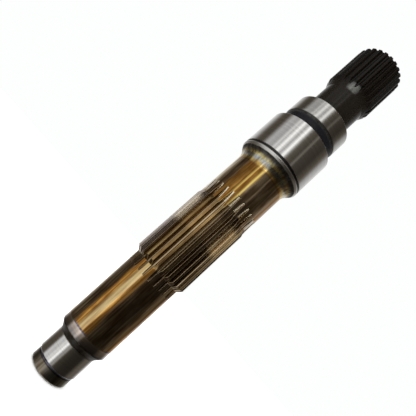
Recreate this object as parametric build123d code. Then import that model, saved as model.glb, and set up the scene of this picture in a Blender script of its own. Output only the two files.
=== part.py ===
from build123d import *
import math
import os

# Hydraulic motor drive shaft, turned and hobbed from one steel bar. Millimetres.
# The axis is +Z. The origin is the centre of the pilot end face, and the end spline is at the top.

# Diameters, from the pilot end up; the seal journal and its relief step down from the bearing journal
pilot_dia = 35.8
rear_journal_dia = 37.8
body_dia = 48.0
body_taper = 0.6
web_dia = 52.8
bearing_dia = 65.8
seal_step = 4.1
relief_depth = 1.2
neck_dia = 42.4

# Lengths of the sections, from the pilot end up
pilot_len = 9.2
rear_journal_len = 21.4
shoulder_len = 5.6
body_len = 77.4
middle_spline_len = 74.3
web_len = 50.5
flare_len = 8.2
bearing_len = 40.3
relief_len = 6.8
seal_ramp_len = 5.3
seal_len = 18.0
neck_len = 29.4
end_ramp_len = 8.5
end_spline_len = 42.5

# Middle spline, which carries the cylinder block
middle_teeth = 26
middle_module = 2.0
middle_pressure = 20.0
middle_tip_dia = 54.6
middle_root_dia = 46.8
middle_lead_in = 3.8
middle_lead_out = 2.6
middle_hob_start = 4.0
middle_hob_stop = 0.2

# End spline, which drives the load
end_teeth = 24
end_module = 2.0
end_pressure = 30.0
end_tip_dia = 49.6
end_root_dia = 45.2
end_spline_turn = -2.1

hob_radius = 35.0
hob_swing = 26.0
hob_clear = 1.2

# Edge breaks, grooves and rounds
pilot_chamfer = 1.3
rear_lead_len = 1.4
flare_root_round = 14.0
flare_crown_round = 1.5
bearing_groove_offset = 1.4
bearing_groove_width = 2.2
bearing_groove_depth = 0.5
bearing_chamfer = 0.6
seal_chamfer = 0.6
shoulder_round = 1.2
end_chamfer = 0.8

# Centre holes in both end faces
centre_drill_dia = 5.0
centre_drill_depth = 12.0
centre_cone_dia = 10.6
centre_cone_angle = 60.0

# Stations along the axis
z_pilot = pilot_len
z_shoulder = z_pilot + rear_journal_len
z_body = z_shoulder + shoulder_len
z_middle = z_body + body_len
z_web = z_middle + middle_spline_len
z_flare = z_web + web_len
z_collar = z_flare + flare_len
z_relief = z_collar + bearing_len
z_seal_ramp = z_relief + relief_len
z_seal = z_seal_ramp + seal_ramp_len
z_neck = z_seal + seal_len
z_end_ramp = z_neck + neck_len
z_end_spline = z_end_ramp + end_ramp_len
z_top = z_end_spline + end_spline_len
z_groove = z_collar + bearing_groove_offset

# Half profile of the shaft as (radius, height)
cone_len = (centre_cone_dia - centre_drill_dia) / 2 / math.tan(math.radians(centre_cone_angle / 2))
drill_tip = centre_drill_depth + centre_drill_dia / 2 / math.tan(math.radians(59))
groove_radius = bearing_dia / 2 - bearing_groove_depth
foot_radius = body_dia / 2 - body_taper
seal_dia = bearing_dia - 2 * seal_step
relief_dia = seal_dia - 2 * relief_depth
profile_points = [
    (0, drill_tip),
    (centre_drill_dia / 2, centre_drill_depth),
    (centre_drill_dia / 2, cone_len),
    (centre_cone_dia / 2, 0),
    (pilot_dia / 2 - pilot_chamfer, 0),
    (pilot_dia / 2, pilot_chamfer),
    (pilot_dia / 2, z_pilot),
    (rear_journal_dia / 2, z_pilot + rear_lead_len),
    (rear_journal_dia / 2, z_shoulder),
    (foot_radius, z_body),
    (body_dia / 2, z_middle),
    (middle_tip_dia / 2, z_middle + middle_lead_in),
    (middle_tip_dia / 2, z_web - middle_lead_out),
    (web_dia / 2, z_web),
    (web_dia / 2, z_flare),
    (bearing_dia / 2, z_collar),
    (bearing_dia / 2, z_groove),
    (groove_radius, z_groove),
    (groove_radius, z_groove + bearing_groove_width),
    (bearing_dia / 2, z_groove + bearing_groove_width),
    (bearing_dia / 2, z_relief - bearing_chamfer),
    (bearing_dia / 2 - bearing_chamfer, z_relief),
    (relief_dia / 2, z_relief),
    (relief_dia / 2, z_seal_ramp),
    (seal_dia / 2, z_seal),
    (seal_dia / 2, z_neck - seal_chamfer),
    (seal_dia / 2 - seal_chamfer, z_neck),
    (neck_dia / 2, z_neck),
    (neck_dia / 2, z_end_ramp),
    (end_tip_dia / 2, z_end_spline),
    (end_tip_dia / 2, z_top - end_chamfer),
    (end_tip_dia / 2 - end_chamfer, z_top),
    (centre_cone_dia / 2, z_top),
    (centre_drill_dia / 2, z_top - cone_len),
    (centre_drill_dia / 2, z_top - centre_drill_depth),
    (0, z_top - drill_tip),
]


def round_corner(face, radius, height, size):
    corner = face.vertices().sort_by_distance((radius, height, 0))[0]
    return fillet(corner, size)


half = make_face(Polyline(*profile_points, close=True))
half = round_corner(half, web_dia / 2, z_flare, flare_root_round)
half = round_corner(half, bearing_dia / 2, z_collar, flare_crown_round)
half = round_corner(half, relief_dia / 2, z_relief, shoulder_round)
half = round_corner(half, neck_dia / 2, z_neck, shoulder_round)
shaft = revolve(Plane.XZ * half, axis=Axis.Z)


def involute(angle):
    return math.tan(angle) - angle


def space_point(radius, teeth, module, pressure, side):
    # A point of one involute flank of the tooth space that is centred on +X
    pitch_radius = module * teeth / 2
    base_radius = pitch_radius * math.cos(math.radians(pressure))
    local = math.acos(min(1.0, base_radius / radius))
    half_tooth = math.pi / 2 / teeth + involute(math.radians(pressure)) - involute(local)
    half_space = math.pi / teeth - half_tooth
    return (radius * math.cos(half_space), side * radius * math.sin(half_space))


def tooth_space(teeth, module, pressure, flank_dias):
    # Cross-section of one tooth space: a flat root and flanks through these diameters, open past the tip
    left = [space_point(dia / 2, teeth, module, pressure, -1) for dia in flank_dias]
    right = [space_point(dia / 2, teeth, module, pressure, 1) for dia in flank_dias]
    for flank in (left, right):
        (x, y), (tip_x, tip_y) = flank[-2:]
        reach = 1 + hob_clear / (tip_x - x)
        flank[-1] = (x + reach * (tip_x - x), y + reach * (tip_y - y))
    return make_face(Polyline(*left, *reversed(right), close=True))


def hob_lift(space, root_dia, height, turn):
    # The hob leaves the work on an arc about its own axis
    axis = Axis((root_dia / 2 + hob_radius, 0, height), (0, turn, 0))
    return revolve(Pos(0, 0, height) * space, axis=axis, revolution_arc=hob_swing)


middle_start = z_middle - middle_hob_start
middle_stop = z_web + middle_hob_stop
middle_flank = (middle_root_dia, middle_module * middle_teeth, middle_tip_dia)
space = tooth_space(middle_teeth, middle_module, middle_pressure, middle_flank)
cutter = Pos(0, 0, middle_start) * extrude(space, middle_stop - middle_start)
cutter += hob_lift(space, middle_root_dia, middle_stop, 1)
cutter += hob_lift(space, middle_root_dia, middle_start, -1)
shaft -= PolarLocations(0, middle_teeth) * cutter

space = tooth_space(end_teeth, end_module, end_pressure, (end_root_dia, end_tip_dia))
cutter = Pos(0, 0, z_end_ramp) * extrude(space, z_top - z_end_ramp + 1)
shaft -= PolarLocations(0, end_teeth, end_spline_turn) * cutter

shaft = shaft.solid()
shaft.label = "drive_shaft"
os.makedirs("parts", exist_ok=True)
export_step(shaft, "parts/drive_shaft.step")
print("volume", round(shaft.volume), "length", round(shaft.bounding_box().size.Z, 2))
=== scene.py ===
import math
import bpy
import numpy as np
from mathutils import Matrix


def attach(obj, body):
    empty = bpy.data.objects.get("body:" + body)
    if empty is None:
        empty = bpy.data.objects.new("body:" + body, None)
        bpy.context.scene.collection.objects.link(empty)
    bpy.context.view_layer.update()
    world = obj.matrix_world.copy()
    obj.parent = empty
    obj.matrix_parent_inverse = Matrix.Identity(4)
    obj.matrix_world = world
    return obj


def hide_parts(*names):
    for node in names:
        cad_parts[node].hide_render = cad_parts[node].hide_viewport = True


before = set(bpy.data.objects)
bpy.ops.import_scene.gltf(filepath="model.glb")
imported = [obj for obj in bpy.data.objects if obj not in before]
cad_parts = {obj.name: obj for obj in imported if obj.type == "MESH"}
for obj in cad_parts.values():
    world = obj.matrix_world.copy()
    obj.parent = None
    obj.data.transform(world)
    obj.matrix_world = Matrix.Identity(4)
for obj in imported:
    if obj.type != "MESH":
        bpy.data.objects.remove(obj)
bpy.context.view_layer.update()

mm = 0.001
print("frame loaded")

# Shaft sizes in millimetres, from the pilot end up, the same as in the CAD, which has no grooveSlant
shaftSizes = {
    "pilot": {"diameter": 35.8, "length": 9.2, "chamfer": 1.3},
    "rearJournal": {"diameter": 37.8, "length": 21.4, "lead": 1.4},
    "shoulder": {"length": 5.6},
    "body": {"diameter": 48.0, "taper": 0.6, "length": 77.4},
    "middleSpline": {"length": 74.3, "leadIn": 3.8, "leadOut": 2.6},
    "web": {"diameter": 52.8, "length": 50.5},
    "flare": {"length": 8.2},
    "bearing": {"diameter": 65.8, "length": 40.3, "chamfer": 0.6,
                "grooveOffset": 1.4, "grooveWidth": 2.2, "grooveDepth": 0.5, "grooveSlant": 0.3},
    "relief": {"diameter": 55.2, "length": 6.8, "ramp": 5.3},
    "seal": {"diameter": 57.6, "length": 18.0, "chamfer": 0.6},
    "neck": {"diameter": 42.4, "length": 29.4},
    "endSpline": {"ramp": 8.5, "length": 42.5, "chamfer": 0.8},
    "centreHole": {"drill": 5.0, "depth": 12.0, "point": 118.0, "cone": 10.6, "angle": 60.0},
}

# The two splines: sizes in mm, angles in degrees. The hob starts before the middle spline and stops after it.
middleTeeth = {"count": 26, "module": 2.0, "pressure": 20.0, "tip": 54.6, "root": 46.8, "turn": 0.0,
               "hobRadius": 35.0, "startBefore": 4.0, "stopAfter": 0.2, "rootRound": 0.5, "edgeRound": 0.22}
endTeeth = {"count": 24, "module": 2.0, "pressure": 30.0, "tip": 49.6, "root": 45.2, "turn": -2.1,
            "hobRadius": 35.0, "rootRound": 0.45, "edgeRound": 0.2}

# Points round the shaft: the toothed number divides by twice each tooth count, and is three times the plain one
columns = {"toothed": 624, "plain": 208}


def stationHeights(s):
    # Where each section starts, from the length of the one before it
    lengths = {
        "rear": s["pilot"]["length"], "shoulder": s["rearJournal"]["length"], "body": s["shoulder"]["length"],
        "middle": s["body"]["length"], "web": s["middleSpline"]["length"], "flare": s["web"]["length"],
        "collar": s["flare"]["length"], "relief": s["bearing"]["length"], "sealRamp": s["relief"]["length"],
        "seal": s["relief"]["ramp"], "neck": s["seal"]["length"], "endRamp": s["neck"]["length"],
        "endSpline": s["endSpline"]["ramp"], "top": s["endSpline"]["length"],
    }
    heights, z = {}, 0.0
    for name, length in lengths.items():
        z += length
        heights[name] = z
    return heights


at = stationHeights(shaftSizes)
hobLow = at["middle"] - middleTeeth["startBefore"]
hobHigh = at["web"] + middleTeeth["stopAfter"]

# Heights between which a ring has teeth, and lengths with more rings
toothedZones = [(hobLow - 8.0, hobHigh + 16.0), (at["endRamp"] + 2.0, at["top"] + 1.0)]
extraRings = {  # from, to and the step between rings, in mm
    "runIn": (hobLow - 7.0, hobLow, 0.35),
    "runInFloor": (hobLow, at["middle"], 1.8),
    "leadIn": (at["middle"], at["middle"] + 3.6, 0.6),
    "teeth": (at["middle"] + 4.0, at["web"] - 3.0, 14.0),
    "leadOut": (at["web"] - 2.6, at["web"], 0.5),
    "runOut": (at["web"], hobHigh + 15.0, 0.4),
    "endRamp": (at["endRamp"] + 2.5, at["endSpline"], 0.5),
    "endTeeth": (at["endSpline"], at["top"], 10.0),
}
tiny = 1e-4  # a length in mm, or a share of one, that counts as none


def roundCorners(corners):
    # A corner with a round becomes an arc tangent to both runs
    points = [np.array(corners[0][:2], float)]
    for i in range(1, len(corners) - 1):
        here = np.array(corners[i][:2], float)
        size, steps = corners[i][2:]
        if size <= 0:
            points.append(here)
            continue
        back = np.array(corners[i - 1][:2], float) - here
        on = np.array(corners[i + 1][:2], float) - here
        u, v = back / np.linalg.norm(back), on / np.linalg.norm(on)
        half = math.acos(np.clip(u @ v, -1, 1)) / 2
        middle = (u + v) / np.linalg.norm(u + v)
        centre = here + middle * size / math.sin(half)
        reach = size / math.tan(half)
        a, b = here + u * reach - centre, here + v * reach - centre
        sweep = math.pi - 2 * half
        for k in range(steps + 1):
            f = k / steps
            points.append(centre + (a * math.sin((1 - f) * sweep) + b * math.sin(f * sweep)) / math.sin(sweep))
    points.append(np.array(corners[-1][:2], float))
    return np.array(points)


# Rounds on the corners of the profile: size in mm and steps. The CAD has flareRoot and stepFoot the same, flareCrown as
# 1.5, and none of the others.
cornerRounds = {
    "sharp": (0, 0), "drillMouth": (0.1, 1), "coneMouth": (0.15, 2), "faceEdge": (0.2, 2),
    "pilotChamfer": (0.4, 3), "pilotTop": (0.3, 2), "rearLead": (0.4, 3), "rearTop": (0.5, 3),
    "bodyFoot": (0.9, 4), "bodyTop": (0.6, 3), "toothTip": (0.5, 3), "webFoot": (0.6, 3),
    "flareRoot": (14.0, 8), "flareCrown": (0.9, 5), "groove": (0.12, 2),
    "journalEdge": (0.25, 3), "journalFace": (0.25, 2), "stepFoot": (1.2, 5), "sealRamp": (18.0, 5),
    "neckTop": (2.0, 4), "endToothFoot": (1.2, 3), "endChamfer": (0.3, 3),
}


def outerCorners(s):
    # The profile's corners in order, each with its round
    pilot, rear, body, web, bearing, relief, seal, neck = (
        s[k]["diameter"] / 2 for k in ("pilot", "rearJournal", "body", "web", "bearing", "relief", "seal", "neck"))
    foot = body - s["body"]["taper"]
    slotZ = at["collar"] + s["bearing"]["grooveOffset"]
    slotTop = slotZ + s["bearing"]["grooveWidth"]
    slotR, slant = bearing - s["bearing"]["grooveDepth"], s["bearing"]["grooveSlant"]
    bearingBreak, sealBreak, endBreak = (s[k]["chamfer"] for k in ("bearing", "seal", "endSpline"))
    middleTip, endTip = middleTeeth["tip"] / 2, endTeeth["tip"] / 2
    hole = s["centreHole"]
    drill, cone, depth = hole["drill"] / 2, hole["cone"] / 2, hole["depth"]
    coneDepth = (cone - drill) / math.tan(math.radians(hole["angle"] / 2))
    drillTip = depth + drill / math.tan(math.radians(hole["point"] / 2))
    corners = [
        ("sharp", 0.0, drillTip), ("sharp", drill, depth), ("drillMouth", drill, coneDepth), ("coneMouth", cone, 0.0),
        ("faceEdge", pilot - s["pilot"]["chamfer"], 0.0), ("pilotChamfer", pilot, s["pilot"]["chamfer"]),
        ("pilotTop", pilot, at["rear"]), ("rearLead", rear, at["rear"] + s["rearJournal"]["lead"]),
        ("rearTop", rear, at["shoulder"]), ("bodyFoot", foot, at["body"]), ("bodyTop", body, at["middle"]),
        ("toothTip", middleTip, at["middle"] + s["middleSpline"]["leadIn"]),
        ("toothTip", middleTip, at["web"] - s["middleSpline"]["leadOut"]), ("webFoot", web, at["web"]),
        ("flareRoot", web, at["flare"]), ("flareCrown", bearing, at["collar"]),
        ("groove", bearing, slotZ), ("groove", slotR, slotZ + slant),
        ("groove", slotR, slotTop - slant), ("groove", bearing, slotTop),
        ("journalEdge", bearing, at["relief"] - bearingBreak), ("journalFace", bearing - bearingBreak, at["relief"]),
        ("stepFoot", relief, at["relief"]), ("sealRamp", relief, at["sealRamp"]), ("sealRamp", seal, at["seal"]),
        ("journalEdge", seal, at["neck"] - sealBreak), ("journalFace", seal - sealBreak, at["neck"]),
        ("stepFoot", neck, at["neck"]), ("neckTop", neck, at["endRamp"]), ("endToothFoot", endTip, at["endSpline"]),
        ("endChamfer", endTip, at["top"] - endBreak), ("faceEdge", endTip - endBreak, at["top"]),
        ("coneMouth", cone, at["top"]), ("drillMouth", drill, at["top"] - coneDepth),
        ("sharp", drill, at["top"] - depth), ("sharp", 0.0, at["top"] - drillTip),
    ]
    return [(radius, height, *cornerRounds[name]) for name, radius, height in corners]


def addStations(points, zones):
    # Extra rings where a tooth space changes along the axis
    out = [points[0]]
    for a, b in zip(points[:-1], points[1:]):
        cuts = []
        length = abs(b[1] - a[1])
        for low, high, step in zones:
            lo, hi = max(min(a[1], b[1]), low), min(max(a[1], b[1]), high)
            if length > tiny and hi - lo > step:
                n = math.ceil((hi - lo) / step)
                cuts += [abs(h - a[1]) / length for h in lo + (hi - lo) * np.arange(0, n + 1) / n]
        for f in sorted(set(round(c, 6) for c in cuts)):
            if tiny < f < 1 - tiny:
                out.append(a + (b - a) * f)
        out.append(b)
    return np.array(out)


def involute(angle):
    return math.tan(angle) - angle


# How a tooth space is drawn in points: mm unless it is a number of points or a share
toothMesh = {
    "rootPoints": 12, "flankPoints": 40, "arcSteps": 8,
    "pastTip": 1.2,  # the flanks run on past the teeth
    "rootReach": 0.9,  # the most of the root that its corner's round takes up
    "rootGap": 0.02, "flankGap": 0.05,  # clear of the round on either side
    "farthestLift": 0.9,  # share of the hob's radius past which nothing is cut
    "leastDepth": 0.01,  # shallower than this is no cut
    "edgeReach": 0.3,  # the most of a shallow space that its edge round takes up
    "roundReach": 0.6,  # the same for the round in the corner of the root
    "landReach": 0.4,  # the same for the edge round on top of the tooth
    "otherPoints": 9,  # steps of half a pitch that aren't on the flank
    "edgeMarks": (0.6, 1.0, 0.7),  # nearness to the edge at its three points
    "fullDepth": 0.25, "fullEdge": 0.8,  # depths from which a space and its edge count in full
}


def grooveHalf(t):
    # Half of one tooth space on +X, from the root's middle out past the tip, with a round at the root's corner
    pitchR = t["module"] * t["count"] / 2
    pressure = math.radians(t["pressure"])
    baseR = pitchR * math.cos(pressure)

    def halfSpace(r):
        local = math.acos(min(1.0, baseR / r))
        return math.pi / t["count"] - (math.pi / 2 / t["count"] + involute(pressure) - involute(local))

    rootR, tipR = t["root"] / 2, t["tip"] / 2 + toothMesh["pastTip"]
    rootAngles = np.linspace(0, halfSpace(rootR), toothMesh["rootPoints"])
    root = np.stack([rootR * np.cos(rootAngles), rootR * np.sin(rootAngles)], 1)
    flankRadii = np.linspace(rootR, tipR, toothMesh["flankPoints"])
    flank = np.array([(r * math.cos(halfSpace(r)), r * math.sin(halfSpace(r))) for r in flankRadii])
    corner = root[-1]
    u = (root[-2] - corner) / np.linalg.norm(root[-2] - corner)
    v = (flank[1] - corner) / np.linalg.norm(flank[1] - corner)
    reach = min(t["rootRound"] / math.tan(math.acos(u @ v) / 2), toothMesh["rootReach"] * rootR * halfSpace(rootR))
    start, stop = corner + u * reach, corner + v * reach
    steps = np.linspace(0, 1, toothMesh["arcSteps"] + 1)[:, None]
    arc = (1 - steps) ** 2 * start + 2 * steps * (1 - steps) * corner + steps ** 2 * stop
    keepRoot = root[root[:, 1] < start[1] - toothMesh["rootGap"]]
    keepFlank = flank[np.hypot(*flank.T) > np.hypot(*stop) + toothMesh["flankGap"]]
    curve = np.concatenate([keepRoot, arc, keepFlank])
    along = np.concatenate([[0], np.cumsum(np.hypot(*np.diff(curve, axis=0).T))])
    n, arcSteps = len(keepRoot), toothMesh["arcSteps"]
    return {"curve": curve, "marks": (along[n], along[n + arcSteps // 2], along[n + arcSteps])}


def halfRing(t, groove, outerR, lift):
    # Half a pitch of one ring: angle and radius, with the share of the space's depth and the nearness to a tooth edge
    # and to the middle of the space; lift is how far past its straight cut the hob has come
    steps = columns["toothed"] // t["count"] // 2
    pitch = math.pi / t["count"]
    plain = np.stack([np.linspace(0, pitch, steps + 1), np.full(steps + 1, outerR)], 1)
    flat = (plain, *np.zeros((3, steps + 1)))
    hubR = t["root"] / 2 + t["hobRadius"]
    if lift > toothMesh["farthestLift"] * t["hobRadius"]:
        return flat
    curve = groove["curve"].copy()
    inside = (hubR - curve[:, 0]) ** 2 - lift ** 2
    curve = curve[inside > 0]
    curve[:, 0] = hubR - np.sqrt(inside[inside > 0])
    r = np.hypot(*curve.T)
    if r[0] > outerR - toothMesh["leastDepth"] or not (r > outerR).any():
        return flat
    k = int(np.argmax(r > outerR))
    corner = curve[k - 1] + (outerR - r[k - 1]) / (r[k] - r[k - 1]) * (curve[k] - curve[k - 1])
    curve = np.concatenate([curve[:k], [corner]])
    along = np.concatenate([[0], np.cumsum(np.hypot(*np.diff(curve, axis=0).T))])
    total, depth = along[-1], outerR - r[0]
    edge = min(t["edgeRound"], toothMesh["edgeReach"] * depth, toothMesh["edgeReach"] * total)
    m1, m2, m3 = groove["marks"]
    shrink = min(1.0, toothMesh["roundReach"] * (total - edge) / m3)
    flankSteps = steps - toothMesh["otherPoints"]
    last = total - edge
    marks = [0, 0.5 * m1 * shrink, m1 * shrink, m2 * shrink, m3 * shrink]
    marks += [m3 * shrink + (last - m3 * shrink) * i / (flankSteps + 1) for i in range(1, flankSteps + 2)]
    xy = np.stack([np.interp(marks, along, curve[:, 0]), np.interp(marks, along, curve[:, 1])], 1)
    cornerAngle = math.atan2(corner[1], corner[0])
    landAngle = min(cornerAngle + edge / outerR, cornerAngle + toothMesh["landReach"] * (pitch - cornerAngle))
    land = outerR * np.array([math.cos(landAngle), math.sin(landAngle)])
    edgeMiddle = (xy[-1] + 2 * corner + land) / 4
    xy = np.concatenate([xy, [edgeMiddle], [land]])
    ring = np.stack([np.arctan2(xy[:, 1], xy[:, 0]), np.hypot(*xy.T)], 1)
    spare = steps + 1 - len(ring)
    rest = landAngle + (pitch - landAngle) * np.arange(1, spare + 1) / spare
    ring = np.concatenate([ring, np.stack([rest, np.full(spare, outerR)], 1)])
    under = np.clip((outerR - ring[:, 1]) / depth, 0, 1) * min(1.0, depth / toothMesh["fullDepth"])
    near = np.zeros(steps + 1)
    near[len(xy) - 3:len(xy)] = toothMesh["edgeMarks"]
    middle = np.clip(1 - ring[:, 0] / cornerAngle, 0, 1)
    return ring, under, near * min(1.0, depth / toothMesh["fullEdge"]), middle


def wholeRing(t, half, *marks):
    # The half pitch mirrored and carried round the shaft
    angle = np.concatenate([half[:, 0], 2 * math.pi / t["count"] - half[-2:0:-1, 0]])
    turns = np.arange(t["count"])[:, None] * 2 * math.pi / t["count"] + math.radians(t["turn"])
    around = [np.tile(np.concatenate([v, v[-2:0:-1]]), t["count"]) for v in (half[:, 1], *marks)]
    return (angle[None] + turns).ravel(), *around


def joinRings(lower, upper, faces):
    # Faces between two rings of point numbers; a toothed ring has three columns to each plain one
    a, b = len(lower), len(upper)
    if a == b:
        on = np.roll(np.arange(a), -1)
        faces += np.stack([lower, lower[on], upper[on], upper], 1).tolist()
        return
    few, many, flip = (lower, upper, False) if a < b else (upper, lower, True)
    for j in range(len(few)):
        f = [many[(3 * j + k) % len(many)] for k in range(4)]
        c, d = few[j], few[(j + 1) % len(few)]
        for face in ([c, d, f[2], f[1]], [c, f[1], f[0]], [d, f[3], f[2]]):
            faces.append(face[::-1] if flip else face)


pointRadius = 0.02  # the tip of a centre hole is a ring this small
innerRadius = 12.0  # rings inside this are on an end face and have no teeth
endTurnFrom = at["collar"] + 20.0  # rings above this are in line with the end teeth


def buildShaft():
    profile = roundCorners(outerCorners(shaftSizes))
    profile = addStations(profile, extraRings.values())
    middleGroove, endGroove = grooveHalf(middleTeeth), grooveHalf(endTeeth)
    verts, marks, rings, count = [], [], [], 0
    for radius, height in profile:
        radius = max(radius, pointRadius)
        upper = height > endTurnFrom
        t, groove = (endTeeth, endGroove) if upper else (middleTeeth, middleGroove)
        toothed = radius > innerRadius and any(low < height < high for low, high in toothedZones)
        if toothed:
            lift = 0.0 if upper else max(hobLow - height, height - hobHigh, 0.0)
            angle, r, *ringMarks = wholeRing(t, *halfRing(t, groove, radius, lift))
        else:
            around = columns["plain"]
            angle = np.arange(around) * 2 * math.pi / around + math.radians(t["turn"])
            r, ringMarks = np.full(around, radius), np.zeros((3, around))
        verts.append(np.stack([r * np.cos(angle), r * np.sin(angle), np.full(len(r), height)], 1) * mm)
        marks.append(np.array(ringMarks))
        rings.append(np.arange(count, count + len(r)))
        count += len(r)
    faces = []
    for lower, upper in zip(rings[:-1], rings[1:]):
        joinRings(lower, upper, faces)
    return np.concatenate(verts), faces, np.concatenate(marks, 1), len(rings)


verts, faces, marks, rings = buildShaft()
toothMarks = ("toothDepth", "toothEdge", "toothMiddle")
mesh = bpy.data.meshes.new("shaftSteel")
mesh.from_pydata(verts.tolist(), [], faces)
for name, values in zip(toothMarks, marks):
    layer = mesh.attributes.new(name, "FLOAT", "POINT")
    layer.data.foreach_set("value", values.astype(np.float32))
mesh.polygons.foreach_set("use_smooth", np.ones(len(mesh.polygons), bool))
vertNormal = np.zeros_like(verts)
for size in (3, 4):  # a face counts by its area, so flats stay flat beside their small rounds
    some = np.array([f for f in faces if len(f) == size])
    corner = verts[some]
    normal = np.cross(corner[:, 2] - corner[:, 0], corner[:, size - 1] - corner[:, 1])
    for k in range(size):
        np.add.at(vertNormal, some[:, k], normal)
vertNormal /= np.maximum(np.linalg.norm(vertNormal, axis=1), 1e-12)[:, None]
mesh.normals_split_custom_set_from_vertices(vertNormal.tolist())
shaft = bpy.data.objects.new("shaftSteel", mesh)
bpy.context.scene.collection.objects.link(shaft)
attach(shaft, "root")
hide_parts("drive_shaft")
print("shaft mesh", len(verts), "points", sum(len(f) - 2 for f in faces), "triangles", rings, "rings")

# Camera at the photograph's place, turned so that the shaft runs up to the right
cameraPlace = {"position": (0.03109, -0.29983, 0.12280), "angles": (104.157, -47.271, -2.300),
               "lens": 30.375, "sensor": 36.0, "shift": (0.0189, 0.0132), "clip": (0.01, 50.0)}
cameraData = bpy.data.cameras.new("camera")
cameraData.lens = cameraPlace["lens"]
cameraData.sensor_width = cameraPlace["sensor"]
cameraData.shift_x, cameraData.shift_y = cameraPlace["shift"]
cameraData.clip_start, cameraData.clip_end = cameraPlace["clip"]
camera = bpy.data.objects.new("camera", cameraData)
camera.location = cameraPlace["position"]
camera.rotation_euler = [math.radians(a) for a in cameraPlace["angles"]]
bpy.context.scene.collection.objects.link(camera)
bpy.context.scene.camera = camera
print("camera set")


class Wire:
    # One socket of a node tree, so that shader maths reads as plain expressions
    noiseSpan = (0.3, 0.7)  # the part of a noise's range that is spread to 0..1

    def __init__(self, tree, socket=None):
        self.tree, self.socket = tree, socket

    def node(self, kind, settings=None, sockets=None, output=0):
        # a node's settings go in first, then the values or links of its sockets
        made = self.tree.nodes.new(kind)
        for name, value in (settings or {}).items():
            if name == "stops":
                band = made.color_ramp.elements
                for element, (place, colour) in ((band[0], value[0]), (band[-1], value[-1])):
                    element.position, element.color = place, (*colour, 1.0)
                for place, colour in value[1:-1]:
                    band.new(place).color = (*colour, 1.0)
            else:
                setattr(made, name, value)
        for key, value in (sockets or {}).items():
            if isinstance(value, Wire):
                self.tree.links.new(value.socket, made.inputs[key])
            else:
                made.inputs[key].default_value = value
        return Wire(self.tree, made.outputs[output])

    def other(self, output):
        # another output of the same node
        return Wire(self.tree, self.socket.node.outputs[output])

    def maths(self, operation, *others):
        return self.node("ShaderNodeMath", {"operation": operation}, dict(enumerate((self, *others))))

    def __add__(self, other):
        return self.maths("ADD", other)

    def __sub__(self, other):
        return self.maths("SUBTRACT", other)

    def __rsub__(self, other):
        return self.node("ShaderNodeMath", {"operation": "SUBTRACT"}, {0: other, 1: self})

    def __mul__(self, other):
        return self.maths("MULTIPLY", other)

    def __truediv__(self, other):
        return self.maths("DIVIDE", other)

    def __rtruediv__(self, other):
        return self.node("ShaderNodeMath", {"operation": "DIVIDE"}, {0: other, 1: self})

    __radd__, __rmul__ = __add__, __mul__

    def rise(self, low, high):
        # 0 below low, 1 above high, smooth between
        sockets = {"Value": self, "From Min": low, "From Max": high}
        return self.node("ShaderNodeMapRange", {"interpolation_type": "SMOOTHSTEP"}, sockets)

    def within(self, low, high, soft):
        # 1 between low and high, fading to 0 over soft on either side
        return self.rise(low - soft, low) * (1 - self.rise(high, high + soft))

    def ramp(self, stops):
        return self.node("ShaderNodeValToRGB", {"stops": stops}, {0: self})

    def mixColour(self, one, other, blend="MIX"):
        # this wire is the share of the other colour
        return self.node("ShaderNodeMix", {"data_type": "RGBA", "blend_type": blend}, {0: self, 6: one, 7: other}, 2)

    def mixValue(self, one, other):
        return self.node("ShaderNodeMix", {"data_type": "FLOAT"}, {0: self, 2: one, 3: other})

    def grain(self, scale, detail):
        # noise stretched by a scale for each axis, spread to 0..1
        stretched = self.node("ShaderNodeVectorMath", {"operation": "MULTIPLY"}, {0: self, 1: scale})
        noise = stretched.node("ShaderNodeTexNoise", {}, {"Vector": stretched, "Scale": 1.0, "Detail": detail})
        return noise.rise(*self.noiseSpan)


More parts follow.
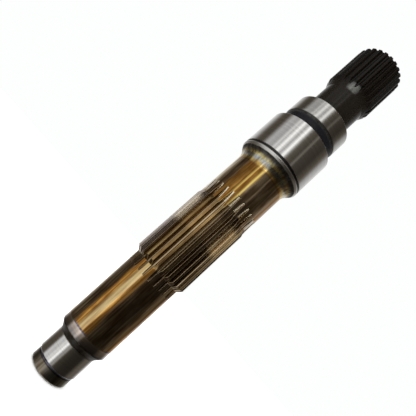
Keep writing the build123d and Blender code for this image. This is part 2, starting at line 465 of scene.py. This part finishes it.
# Finishes from the pilot end up: where each starts, how far it blends in from the one before, both in mm,
# its colour, roughness, share of metal and what kind of surface it is
surfaceKinds = {"ground": 1.0, "tinted": 0.5, "black": 0.0}
kindSteps = {"tinted": (0.2, 0.4), "ground": (0.7, 0.9)}  # from one kind to the next
groundSteel = (0.70, 0.69, 0.67)
finishes = {
    "pilot": (0.0, 0.2, (0.26, 0.245, 0.215), 0.30, 1.0, "tinted"),
    "pilotEdge": (at["rear"] - 1.5, 0.5, (0.040, 0.038, 0.038), 0.34, 1.0, "tinted"),
    "pilotStep": (at["rear"], 0.3, (0.25, 0.26, 0.36), 0.28, 1.0, "tinted"),
    "rearJournal": (at["rear"] + 1.5, 0.4, groundSteel, 0.13, 1.0, "ground"),
    # Painted shade: the shoulder cone faces down and is painted nearly black.
    "shoulder": (at["shoulder"] - 0.2, 0.3, (0.064, 0.057, 0.050), 0.46, 1.0, "tinted"),
    "bodyFoot": (at["body"] + 0.5, 0.4, (0.275, 0.25, 0.24), 0.11, 1.0, "ground"),
    "bandTop": (at["body"] + 4.0, 5.0, (0.62, 0.52, 0.44), 0.15, 1.0, "ground"),
    "blueLine": (at["body"] + 6.9, 0.5, (0.17, 0.20, 0.36), 0.17, 1.0, "tinted"),
    "body": (at["body"] + 8.1, 0.6, (0.46, 0.24, 0.06), 0.13, 1.0, "tinted"),
    "middleSpline": (at["middle"] + 0.3, 1.0, (0.29, 0.195, 0.085), 0.18, 1.0, "tinted"),
    "web": (at["web"] + 0.5, 1.0, (0.31, 0.155, 0.038), 0.10, 1.0, "tinted"),
    "flareFoot": (at["flare"] - 5.6, 2.0, (0.68, 0.50, 0.21), 0.16, 1.0, "tinted"),
    "flareBlue": (at["flare"] - 2.4, 2.0, (0.52, 0.53, 0.50), 0.24, 1.0, "tinted"),
    "flareStraw": (at["flare"] + 1.2, 1.4, (0.68, 0.60, 0.35), 0.32, 1.0, "tinted"),
    # Painted shade: the flare's outer part faces down and is painted dark, in two steps.
    "flareEdge": (at["flare"] + 3.2, 2.4, (0.138, 0.133, 0.127), 0.50, 1.0, "tinted"),
    "flareDark": (at["flare"] + 5.0, 0.8, (0.088, 0.086, 0.080), 0.66, 1.0, "tinted"),
    "collar": (at["collar"] - 1.55, 0.5, (0.74, 0.73, 0.70), 0.34, 1.0, "ground"),
    "groove": (at["collar"] + 1.15, 0.2, (0.045, 0.045, 0.045), 0.45, 1.0, "black"),
    "bearing": (at["collar"] + 3.45, 0.2, groundSteel, 0.13, 1.0, "ground"),
    "relief": (at["relief"] - 0.1, 0.3, (0.0082, 0.0080, 0.0097), 0.32, 0.0, "black"),
    "sealRamp": (at["sealRamp"] + 3.2, 3.2, (0.066, 0.066, 0.064), 0.42, 1.0, "ground"),
    "seal": (at["seal"] - 0.4, 0.6, (0.57, 0.56, 0.53), 0.16, 1.0, "ground"),
    "neck": (at["neck"] - 0.2, 0.3, (0.0100, 0.0081, 0.0060), 0.15, 0.0, "black"),
    "endSpline": (at["endRamp"] + 4.0, 7.0, (0.0050, 0.0034, 0.0021), 0.36, 0.0, "black"),
    "endFace": (at["top"] - 0.1, 0.2, (0.05, 0.045, 0.04), 0.4, 0.8, "black"),
}


def finishStops(low, high, pick):
    # Ramp stops over one stretch of the shaft, two for each change of finish in it
    before = [finish for finish in finishes.values() if finish[0] <= low][-1]
    stops = [(0.0, pick(*before))]
    for finish in finishes.values():
        start, blend = finish[:2]
        if low < start < high:
            stops.append(((start - blend / 2 - low) / (high - low), pick(*before)))
            stops.append(((start + blend / 2 - low) / (high - low), pick(*finish)))
            before = finish
    return stops


# Wear, painted highlights, painted shade and detail on the steel. Scales are per metre for x, y and z. The two ends of
# a length are stations of the shaft and how many mm past them they lie, and it fades over soft mm. Bands are (azimuth,
# half width, share) in degrees about the shaft's axis, and least is the share of a band that shows even where no streak
# runs. Dark and light are what the two ends of a grain multiply the colour by.
steelDetail = {
    "specular": 0.15,
    "bandFlat": 0.45,  # share of a band's half width that has its full strength
    "finishSplit": 0.1,  # mm past the flare's start, between two finishes
    "grinding": {"fine": (18, 18, 2400), "coarse": (7, 7, 620), "detail": 3.0, "rough": 0.05, "bump": 0.000005,
                 "dark": (0.90, 0.90, 0.90), "light": (1.06, 1.06, 1.06)},
    "mottle": {"scale": (150, 150, 60), "detail": 3.0, "rough": 0.06,
               "dark": (0.70, 0.58, 0.46), "light": (1.20, 1.25, 1.26)},
    "streaks": {"scale": (460, 460, 34), "detail": 3.0, "bump": 0.000004,
                "dark": (0.60, 0.57, 0.52), "light": (1.30, 1.30, 1.28)},
    "scratches": {"scale": (980, 980, 30), "detail": 2.0, "bump": 0.000003, "ends": (("body", 8.0), ("middle", -1.0)),
                  "soft": 1.0, "dark": (0.52, 0.48, 0.42), "light": (1.28, 1.28, 1.26)},
    "crust": {"scale": (900, 900, 900), "detail": 3.0, "rough": 0.10, "bump": 0.000012},
    "gold": {"bands": [(-105, 26, 1.0), (-12, 24, 0.8), (75, 26, 0.9), (158, 24, 0.8)],
             "flat": 0.5, "mottled": 0.5, "rise": (0.2, 0.8)},
    "brown": {"colour": (0.51, 0.41, 0.30), "ends": (("body", 7.5), ("flare", -7.0)), "soft": 1.5},
    "splineBrown": {"colour": (0.245, 0.188, 0.134), "ends": (("middle", 1.0), ("web", 0.0)), "soft": 1.0},
    # Part painted highlight: the cream band at -103.5 degrees is the body's highlight painted into its colour, and the
    # other bands are rub marks.
    "bodyRub": {"colour": (0.67, 0.525, 0.27), "ends": (("body", 9.0), ("middle", -0.5)), "soft": 1.0, "least": 0.4,
                "bands": [(-103.5, 9, 1.0), (-31, 5, 0.6), (12, 7, 0.8), (74, 6, 0.6), (139, 8, 0.9), (-160, 5, 0.5)]},
    # Part painted highlight: the yellow bands at -99.6 and -87.5 degrees are the web's highlights painted into its
    # colour, and the other bands are rub marks.
    "webRub": {"colour": (0.55, 0.42, 0.12), "ends": (("web", 3.0), ("flare", -7.0)), "soft": 1.5, "least": 0.45,
               "bands": [(-99.6, 2.6, 0.7), (-87.5, 3.0, 1.0), (-52, 3, 0.5), (5, 4, 0.9), (48, 3, 0.7),
                         (101, 4, 1.0), (-160, 4, 0.8)]},
    # Painted glints: light patches painted near the web, at the azimuths where its outline catches the light.
    "webGlint": {"colour": (0.88, 0.80, 0.66), "ends": (("web", 3.0), ("web", 12.0)), "soft": 2.0, "least": 0.5,
                 "bands": [(-154, 22, 1.0), (-14, 19, 1.0), (88, 14, 0.7)]},
    "webLine": {"colour": (0.90, 0.72, 0.52), "ends": (("web", 3.0), ("flare", -7.0)), "soft": 1.5, "least": 0.0,
                "bands": [(-68.5, 1.6, 0.9), (24, 1.6, 0.7), (131, 1.6, 0.7)]},
    # Painted shine: the middle of the spline is multiplied lighter, as though more light fell there, and its tooth
    # spaces get a lighter colour.
    "splinePaintedShine": {"colour": (1.48, 1.44, 1.39), "ends": (("middle", 46.0), ("web", -12.0)), "soft": 8.0},
    # Painted sheen: a grey band painted on the spline's upper side at -147 degrees, where the light falls, and a weaker
    # one at 150 degrees.
    "splineSheen": {"colour": (0.50, 0.44, 0.42), "ends": (("middle", 1.0), ("web", -1.0)), "soft": 1.5, "least": 1.0,
                    "bands": [(-147, 19, 0.9), (150, 16, 0.6)]},
    # Part painted highlight: the pale band at -143 degrees is the spline's white highlight on its upper side painted
    # into its colour, with more metal, and the band at 108 degrees is abrasion.
    "splineWear": {"colour": (0.82, 0.73, 0.58), "metal": 0.7, "ends": (("middle", 45.0), ("web", -10.0)),
                   "soft": 9.0, "least": 0.5, "bands": [(-143, 17, 1.0), (108, 12, 0.8)]},
    # Part painted highlight: the gold band at -38 degrees is the spline's low gold highlight painted into its colour,
    # and the band at 42 degrees is abrasion.
    "splineRub": {"colour": (0.84, 0.62, 0.33), "metal": 0.82, "rough": 0.42,
                  "ends": (("middle", 45.0), ("web", -10.0)), "soft": 9.0, "least": 0.5,
                  "bands": [(-38, 19, 0.95), (42, 10, 0.7)]},
    "flareSpots": {"scale": (210, 210, 260), "detail": 2.0, "ends": (("flare", -4.5), ("flare", 3.5)), "soft": 1.5,
                   "dark": (0.84, 0.90, 1.08), "light": (1.14, 1.08, 0.84)},  # blue and straw
    # Part painted glint: the grey, more metal patch at -93 degrees on the end teeth's ramp is their glint painted into
    # the colour, and the other bands are abrasion.
    "endWear": {"colour": (0.18, 0.18, 0.172), "metal": 0.6, "ends": (("endRamp", 1.3), ("endSpline", -4.0)),
                "soft": 3.0, "least": 0.55, "flat": 0.3, "bands": [(-93, 17, 1.0), (20, 9, 0.6), (118, 11, 0.8)]},
    "toothed": {"ends": (("middle", -10.5), ("web", 15.7)), "soft": 0.5},
    # Painted light: the tooth spaces are coloured lighter than the lands, making up for the shade that falls in them.
    "toothSpace": {"colour": (0.34, 0.255, 0.15), "paintedShineColour": (0.47, 0.36, 0.22),
                   "depth": (0.05, 0.6), "starts": (-2.0, 1.0)},
    # Painted shade: the shallow spaces where the hob runs in are painted dark.
    "runIn": {"colour": (0.085, 0.058, 0.032), "share": 0.8, "depth": (0.05, 0.5), "stops": (-1.0, 2.0)},
    # Painted highlights: light lines painted along the tooth edges, where their rounds catch the light, broken up by a
    # grain.
    "toothEdge": {"colour": (0.64, 0.48, 0.25), "share": 0.9, "scale": (200, 200, 16), "detail": 1.0,
                  "ends": (("middle", 0.0), ("web", 3.0)), "soft": 1.0},
    # Painted reflection: the hob's run-out floors are painted light, standing in for the light they would mirror, with
    # less metal and more roughness.
    "finger": {"colour": (0.70, 0.61, 0.44), "metal": 0.5, "rough": 0.30,
               "depth": (0.3, 0.7), "middle": (0.26, 0.64), "starts": (2.8, 4.0)},
}


def bandStops(bands, flat):
    # Ramp stops over the azimuth, rising to each band's share in its middle part
    stops = [(0.0, (0, 0, 0))]
    for centre, half, share in sorted(bands):
        for side, level in ((-1.0, 0.0), (-flat, share), (flat, share), (1.0, 0.0)):
            stops.append(((centre + side * half + 180) / 360, (level, level, level)))
    return stops


def dressShaft(look):
    steel = bpy.data.materials.new("shaftSteel")
    steel.use_nodes = True
    tree = steel.node_tree
    shader = tree.nodes["Principled BSDF"]
    shader.inputs["Specular IOR Level"].default_value = look["specular"]
    place = Wire(tree).node("ShaderNodeTexCoord", output="Object")
    x = place.node("ShaderNodeSeparateXYZ", {}, {0: place})
    y, z = x.other(1), x.other(2)
    height = z * (1 / mm)
    azimuth = y.maths("ARCTAN2", x) / (2 * math.pi) + 0.5  # 0 to 1, once round the shaft
    depth, edge, middle = (
        place.node("ShaderNodeAttribute", {"attribute_name": name}, output="Fac") for name in toothMarks)

    # Grain, then short ways to say where a finish lies and how it goes on
    grinding, mottle, streaks = look["grinding"], look["mottle"], look["streaks"]
    scratches, crust = look["scratches"], look["crust"]
    halfway = 0.5  # in the middle of a grain, which is 0 to 1
    fine, coarse = (place.grain(grinding[k], grinding["detail"]) for k in ("fine", "coarse"))
    lines = fine * halfway + coarse * halfway
    patches, strokes, lined, flakes, edgeHighlightGrain, spots = (
        place.grain(part["scale"], part["detail"])
        for part in (mottle, streaks, scratches, crust, look["toothEdge"], look["flareSpots"]))

    def stretch(part):
        # 1 along the part's length of the shaft
        (first, past), (last, beyond) = part["ends"]
        return height.within(at[first] + past, at[last] + beyond, part["soft"])

    def rising(station, span):
        # 0 to 1 between two distances past a station
        return height.rise(at[station] + span[0], at[station] + span[1])

    def wearAndHighlightBands(part):
        # bands round the shaft, for abrasion and for painted highlights and glints, that show most where a streak runs
        bands = azimuth.ramp(bandStops(part["bands"], part.get("flat", look["bandFlat"])))
        return bands * stretch(part) * (part["least"] + (1 - part["least"]) * strokes)

    def paint(colour, share, part, blend="MIX"):
        return share.mixColour(colour, (*part["colour"], 1), blend)

    def shade(colour, share, grain, part):
        tones = grain.mixColour((*part["dark"], 1), (*part["light"], 1))
        return share.mixColour(colour, tones, "MULTIPLY")

    # The finishes along the shaft, on two ramps because one holds 32 stops
    split = at["flare"] + look["finishSplit"]
    halves = [(0.0, split), (split, at["top"] + 1.0)]
    shares = [(height - low) / (high - low) for low, high in halves]
    upper = height.maths("GREATER_THAN", split)

    def along(pick):
        ramps = [share.ramp(finishStops(low, high, pick)) for share, (low, high) in zip(shares, halves)]
        return upper.mixColour(*ramps)

    colour = along(lambda start, blend, tint, rough, metal, kind: tint)
    gloss = along(lambda start, blend, tint, rough, metal, kind: (rough, metal, surfaceKinds[kind]))
    roughness = gloss.node("ShaderNodeSeparateColor", {}, {0: gloss})
    metal, kind = roughness.other(1), roughness.other(2)
    ground, notBlack = kind.rise(*kindSteps["ground"]), kind.rise(*kindSteps["tinted"])
    tinted, black = notBlack * (1 - ground), 1 - notBlack

    # Gold straw tint in bands, brown between them, mottled at their edges
    goldBands = azimuth.ramp(bandStops(look["gold"]["bands"], look["gold"]["flat"]))
    gold = (goldBands + (patches - halfway) * look["gold"]["mottled"]).rise(*look["gold"]["rise"])
    brown = paint((*look["brown"]["colour"], 1), stretch(look["splineBrown"]), look["splineBrown"])
    colour = (tinted * (1 - gold) * stretch(look["brown"])).mixColour(colour, brown)

    # Grinding lines round the journals, mottled tint, long streaks and scratches on the heated lengths
    scratched = tinted * stretch(scratches)
    colour = shade(colour, ground, lines, grinding)
    colour = shade(colour, tinted, patches, mottle)
    colour = shade(colour, tinted, strokes, streaks)
    colour = shade(colour, scratched, lined, scratches)

    # Bands on the body and web: painted highlights where the light falls and rub marks round the rest; painted glints
    # and lines near the web; painted shine on the middle of the spline; spots on the flare; a painted glint with
    # abrasion on the end teeth
    for name in ("bodyRub", "webRub", "webGlint", "webLine"):
        colour = paint(colour, wearAndHighlightBands(look[name]), look[name])
    # Painted shine: the middle of the spline is multiplied lighter.
    paintedShine = stretch(look["splinePaintedShine"])
    colour = paint(colour, paintedShine, look["splinePaintedShine"], "MULTIPLY")
    colour = shade(colour, stretch(look["flareSpots"]), spots, look["flareSpots"])
    # A painted glint on the end teeth's ramp, with abrasion in other bands.
    endGlintAndWear = wearAndHighlightBands(look["endWear"]) * (1 - depth)
    colour = paint(colour, endGlintAndWear, look["endWear"])

    # Tooth spaces painted lighter against the shade that falls in them, painted shade in the run-in spaces, painted
    # highlights on the tooth edges, and the hob's run-out floors painted light as a painted reflection
    finger, space, runIn, toothEdge = (look[k] for k in ("finger", "toothSpace", "runIn", "toothEdge"))
    toothed = stretch(look["toothed"])
    runOut = depth.rise(*finger["depth"]) * middle.rise(*finger["middle"]) * rising("web", finger["starts"]) * toothed
    # The tooth spaces are painted lighter, against the shade in them.
    spaceColour = paintedShine.mixColour((*space["colour"], 1), (*space["paintedShineColour"], 1))
    inSpace = depth.rise(*space["depth"]) * toothed * rising("middle", space["starts"]) * (1 - runOut)
    colour = inSpace.mixColour(colour, spaceColour)
    # Painted shade in the run-in spaces.
    inRunIn = depth.rise(*runIn["depth"]) * toothed * (1 - rising("middle", runIn["stops"]))
    colour = paint(colour, inRunIn * runIn["share"], runIn)
    # Painted sheen and painted highlights on the spline, each beside bands of abrasion elsewhere round it.
    wornAndHighlit, rubbedAndHighlit = wearAndHighlightBands(look["splineWear"]), wearAndHighlightBands(look["splineRub"])
    colour = paint(colour, wearAndHighlightBands(look["splineSheen"]), look["splineSheen"])
    colour = paint(colour, wornAndHighlit, look["splineWear"])
    colour = paint(colour, rubbedAndHighlit, look["splineRub"])
    # The tooth edges get their painted highlights.
    colour = paint(colour, edge * stretch(toothEdge) * edgeHighlightGrain * toothEdge["share"], toothEdge)
    # The run-out floors get their painted reflection.
    colour = paint(colour, runOut, finger)
    for share, name in ((wornAndHighlit, "splineWear"), (rubbedAndHighlit, "splineRub"), (runOut, "finger"), (endGlintAndWear, "endWear")):
        metal = share.mixValue(metal, look[name]["metal"])
    for share, name in ((rubbedAndHighlit, "splineRub"), (runOut, "finger")):
        roughness = share.mixValue(roughness, look[name]["rough"])

    # Gloss and fine relief
    for grain, share, part in ((lines, ground, grinding), (patches, tinted, mottle), (flakes, black, crust)):
        roughness = roughness + (grain - halfway) * share * part["rough"]
    relief = lines * ground * grinding["bump"]
    for grain, share, part in ((flakes, black, crust), (strokes, tinted, streaks), (lined, scratched, scratches)):
        relief = relief + grain * share * part["bump"]
    normal = relief.node("ShaderNodeBump", {}, {"Strength": 1.0, "Distance": 1.0, "Height": relief})

    for name, value in (("Base Color", colour), ("Roughness", roughness), ("Metallic", metal), ("Normal", normal)):
        tree.links.new(value.socket, shader.inputs[name])
    shaft.data.materials.append(steel)
    print("steel dressed", len(tree.nodes), "nodes")


dressShaft(steelDetail)

# Studio: how bright its walls are at azimuths from the camera's in degrees, below, at and above eye level
studioWalls = {
    "cameraAzimuth": -84.08,
    "low": [(-180, 1.0), (-152, 0.80), (-140, 0.35), (-128, 0.13), (-116, 0.09), (-90, 0.085), (-84, 0.14), (-79, 0.36),
            (-73, 0.70), (-68, 0.78), (-60, 0.66), (-51, 0.66), (-45, 0.92), (-36, 0.80), (-31, 1.15), (-26, 1.35),
            (-22, 0.95), (-18, 0.42), (-13, 0.33), (-7, 0.38), (-3, 0.18), (2, 0.06), (12, 0.045), (30, 0.028),
            (60, 0.022), (76, 0.024), (88, 0.080), (100, 0.13), (118, 0.14), (132, 0.24), (150, 0.85), (180, 1.0)],
    "eye": [(-180, 1.0), (-150, 0.90), (-138, 0.65), (-130, 0.50), (-116, 0.34), (-104, 0.13), (-94, 0.09), (-86, 0.12),
            (-80, 0.34), (-73, 0.60), (-60, 0.58), (-51, 0.58), (-45, 0.92), (-37, 0.68), (-31, 1.05), (-26, 1.35),
            (-20, 0.62), (-14, 0.45), (-9, 0.80), (-5, 0.85), (-1, 0.40), (3, 0.14), (12, 0.07), (30, 0.06),
            (60, 0.035), (76, 0.06), (88, 0.14), (98, 0.30), (110, 0.42), (130, 0.70), (145, 0.95), (180, 1.0)],
    "high": [(-180, 1.0), (-150, 0.80), (-128, 0.42), (-117, 0.17), (-107, 0.09), (-90, 0.08), (-84, 0.17), (-75, 0.46),
             (-70, 0.56), (-54, 0.45), (-50, 0.55), (-45, 0.92), (-38, 0.54), (-34, 1.0), (-29, 1.45), (-25, 0.95),
             (-19, 0.50), (-15, 0.55), (-10, 1.15), (-6, 1.55), (-2, 0.90), (2, 0.34), (8, 0.12), (26, 0.07),
             (33, 0.22), (38, 0.07), (70, 0.045), (92, 0.10), (102, 0.19), (114, 0.46), (150, 0.76), (180, 0.95)],
    "lowToEye": (0.05, 0.11),  # upward part of the direction over which one wall passes into the next
    "eyeToHigh": (0.20, 0.30),
    "brown": (1.0, 0.86, 0.68),
    "brownFrom": 0.45,  # brightness at which a wall starts to turn brown, and where it is all brown
    "brownFull": 0.10,
    "background": (0.985, 1.0, 0.99),
}


def wallStops(walls, key):
    # The dim parts of the walls are brown
    stops = []
    for degrees, level in walls[key]:
        warm = max(0.0, min(1.0, (walls["brownFrom"] - level) / (walls["brownFrom"] - walls["brownFull"])))
        stops.append(((degrees + 180) / 360, tuple(level * (1 + warm * (tone - 1)) for tone in walls["brown"])))
    return stops


def buildStudio(walls):
    world = bpy.data.worlds.new("studio")
    bpy.context.scene.world = world
    world.use_nodes = True
    tree = world.node_tree
    direction = Wire(tree).node("ShaderNodeTexCoord", output="Generated")
    x = direction.node("ShaderNodeSeparateXYZ", {}, {0: direction})
    y, z = x.other(1), x.other(2)
    turn = math.radians(walls["cameraAzimuth"])
    ahead = x * math.cos(turn) + y * math.sin(turn)
    aside = y * math.cos(turn) - x * math.sin(turn)
    around = aside.maths("ARCTAN2", ahead) / (2 * math.pi) + 0.5
    low, eye, high = (around.ramp(wallStops(walls, key)) for key in ("low", "eye", "high"))
    light = z.rise(*walls["lowToEye"]).mixColour(low, eye)
    light = z.rise(*walls["eyeToHigh"]).mixColour(light, high)
    seen = light.node("ShaderNodeLightPath", output="Is Camera Ray")
    light = seen.mixColour(light, (*walls["background"], 1))
    tree.links.new(light.socket, tree.nodes["Background"].inputs["Color"])


buildStudio(studioWalls)

floorPlace = {"half": 6.0, "colour": (0.93, 0.94, 0.935), "rough": 0.9, "specular": 0.0}
half = floorPlace["half"]
floorMesh = bpy.data.meshes.new("floor")
floorMesh.from_pydata([(-half, -half, 0), (half, -half, 0), (half, half, 0), (-half, half, 0)], [], [(0, 1, 2, 3)])
floor = bpy.data.objects.new("floor", floorMesh)
bpy.context.scene.collection.objects.link(floor)
floor.visible_glossy = False  # the metal mirrors the studio walls, as it would held clear of the table
floorPaint = bpy.data.materials.new("floorPaint")
floorPaint.use_nodes = True
paint = floorPaint.node_tree.nodes["Principled BSDF"]
paint.inputs["Base Color"].default_value = (*floorPlace["colour"], 1)
paint.inputs["Roughness"].default_value = floorPlace["rough"]
paint.inputs["Specular IOR Level"].default_value = floorPlace["specular"]
floor.data.materials.append(floorPaint)

softLight = {"strength": 4.5, "angle": 110.0}
topData = bpy.data.lights.new("topLight", "SUN")
topData.energy = softLight["strength"]
topData.angle = math.radians(softLight["angle"])
topLight = bpy.data.objects.new("topLight", topData)
topLight.visible_glossy = False  # it lights the floor and the dull steel, and the bright steel mirrors the walls alone
bpy.context.scene.collection.objects.link(topLight)
bpy.context.scene.view_settings.view_transform = "Standard"
print("studio set")
